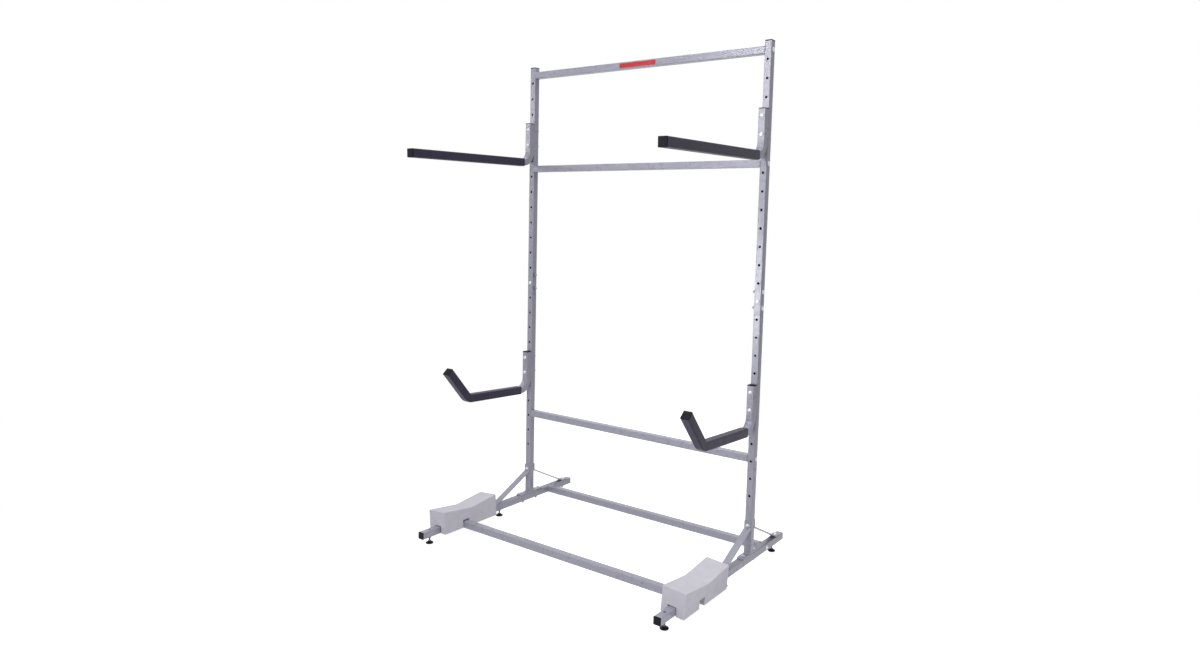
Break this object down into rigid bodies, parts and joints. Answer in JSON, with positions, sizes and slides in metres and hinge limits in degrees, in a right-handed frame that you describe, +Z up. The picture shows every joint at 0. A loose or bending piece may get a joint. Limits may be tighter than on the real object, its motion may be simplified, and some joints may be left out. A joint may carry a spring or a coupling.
{
  "type": "freestanding kayak rack",
  "caption": "Freestanding steel rack for kayaks: two posts on a levelled base, sleeved straight and J-shaped arms, and notched foam cradle blocks.",
  "frame": {"origin": "on the floor, under the middle of the rack's outline", "axes": "+X runs along the cross rails from the left post to the right one, -Y is the front, where the arms reach out, and +Z is up"},
  "size_m": [1.3942, 1.1034, 2.231],
  "materials": {
    "frame_steel": "satin silver-grey powder coat",
    "zinc": "bright zinc plate",
    "black_cap": "moulded black polyethylene",
    "black_foot": "moulded black nylon",
    "arm_sleeve": "charcoal rubber sleeve",
    "foam": "light grey closed-cell foam"
  },
  "bodies": {
    "rack": {"base_rail_left": "frame_steel", "base_cap_front_left": "black_cap", "base_cap_rear_left": "black_cap", "foam_block_left": "foam", "lower_post_left": "frame_steel", "upper_post_left": "frame_steel", "post_cap_left": "black_cap", "strut_front_left": "frame_steel", "strut_rear_left": "frame_steel", "upper_arm_left": "frame_steel", "upper_arm_sleeve_left": "arm_sleeve", "upper_arm_top_cap_left": "black_cap", "upper_arm_tip_cap_left": "black_cap", "upper_arm_bolt_1_left": "zinc", "upper_arm_bolt_2_left": "zinc", "lower_arm_left": "frame_steel", "lower_arm_sleeve_left": "arm_sleeve", "lower_arm_top_cap_left": "black_cap", "lower_arm_tip_cap_left": "black_cap", "lower_arm_bolt_1_left": "zinc", "lower_arm_bolt_2_left": "zinc", "base_rail_right": "frame_steel", "base_cap_front_right": "black_cap", "base_cap_rear_right": "black_cap", "foam_block_right": "foam", "lower_post_right": "frame_steel", "upper_post_right": "frame_steel", "post_cap_right": "black_cap", "strut_front_right": "frame_steel", "strut_rear_right": "frame_steel", "upper_arm_right": "frame_steel", "upper_arm_sleeve_right": "arm_sleeve", "upper_arm_top_cap_right": "black_cap", "upper_arm_tip_cap_right": "black_cap", "upper_arm_bolt_1_right": "zinc", "upper_arm_bolt_2_right": "zinc", "lower_arm_right": "frame_steel", "lower_arm_sleeve_right": "arm_sleeve", "lower_arm_top_cap_right": "black_cap", "lower_arm_tip_cap_right": "black_cap", "lower_arm_bolt_1_right": "zinc", "lower_arm_bolt_2_right": "zinc", "base_cross_rail_front": "frame_steel", "base_cross_rail_rear": "frame_steel", "frame_rail_lower": "frame_steel", "frame_rail_middle": "frame_steel", "frame_rail_top": "frame_steel"},
    "pad_front_left": {"foot_pad_front_left": "black_foot"},
    "stud_front_left": {"foot_stud_front_left": "zinc"},
    "pad_middle_left": {"foot_pad_middle_left": "black_foot"},
    "stud_middle_left": {"foot_stud_middle_left": "zinc"},
    "pad_rear_left": {"foot_pad_rear_left": "black_foot"},
    "stud_rear_left": {"foot_stud_rear_left": "zinc"},
    "pad_front_right": {"foot_pad_front_right": "black_foot"},
    "stud_front_right": {"foot_stud_front_right": "zinc"},
    "pad_middle_right": {"foot_pad_middle_right": "black_foot"},
    "stud_middle_right": {"foot_stud_middle_right": "zinc"},
    "pad_rear_right": {"foot_pad_rear_right": "black_foot"},
    "stud_rear_right": {"foot_stud_rear_right": "zinc"}
  },
  "joints": [
    {"name": "foot_height_front_left", "type": "slide", "parent": "rack", "child": "pad_front_left", "axis": [0, 0, -1], "range_m": [-0.01, 0.015]},
    {"name": "stud_turn_front_left", "type": "hinge", "parent": "pad_front_left", "child": "stud_front_left", "pos_m": [-0.6365, -0.44232, 0.03], "axis": [0, 0, -1], "range_deg": [-2885, 4325]},
    {"name": "foot_height_middle_left", "type": "slide", "parent": "rack", "child": "pad_middle_left", "axis": [0, 0, -1], "range_m": [-0.01, 0.015]},
    {"name": "stud_turn_middle_left", "type": "hinge", "parent": "pad_middle_left", "child": "stud_middle_left", "pos_m": [-0.6365, 0.00868, 0.03], "axis": [0, 0, -1], "range_deg": [-2885, 4325]},
    {"name": "foot_height_rear_left", "type": "slide", "parent": "rack", "child": "pad_rear_left", "axis": [0, 0, -1], "range_m": [-0.01, 0.015]},
    {"name": "stud_turn_rear_left", "type": "hinge", "parent": "pad_rear_left", "child": "stud_rear_left", "pos_m": [-0.6365, 0.46668, 0.03], "axis": [0, 0, -1], "range_deg": [-2885, 4325]},
    {"name": "foot_height_front_right", "type": "slide", "parent": "rack", "child": "pad_front_right", "axis": [0, 0, -1], "range_m": [-0.01, 0.015]},
    {"name": "stud_turn_front_right", "type": "hinge", "parent": "pad_front_right", "child": "stud_front_right", "pos_m": [0.6365, -0.44232, 0.03], "axis": [0, 0, -1], "range_deg": [-2885, 4325]},
    {"name": "foot_height_middle_right", "type": "slide", "parent": "rack", "child": "pad_middle_right", "axis": [0, 0, -1], "range_m": [-0.01, 0.015]},
    {"name": "stud_turn_middle_right", "type": "hinge", "parent": "pad_middle_right", "child": "stud_middle_right", "pos_m": [0.6365, 0.00868, 0.03], "axis": [0, 0, -1], "range_deg": [-2885, 4325]},
    {"name": "foot_height_rear_right", "type": "slide", "parent": "rack", "child": "pad_rear_right", "axis": [0, 0, -1], "range_m": [-0.01, 0.015]},
    {"name": "stud_turn_rear_right", "type": "hinge", "parent": "pad_rear_right", "child": "stud_rear_right", "pos_m": [0.6365, 0.46668, 0.03], "axis": [0, 0, -1], "range_deg": [-2885, 4325]}
  ],
  "couplings": [
    {"joint": "stud_turn_front_left", "follows": "foot_height_front_left", "rad_per_m": 5026.5},
    {"joint": "stud_turn_middle_left", "follows": "foot_height_middle_left", "rad_per_m": 5026.5},
    {"joint": "stud_turn_rear_left", "follows": "foot_height_rear_left", "rad_per_m": 5026.5},
    {"joint": "stud_turn_front_right", "follows": "foot_height_front_right", "rad_per_m": 5026.5},
    {"joint": "stud_turn_middle_right", "follows": "foot_height_middle_right", "rad_per_m": 5026.5},
    {"joint": "stud_turn_rear_right", "follows": "foot_height_rear_right", "rad_per_m": 5026.5}
  ]
}
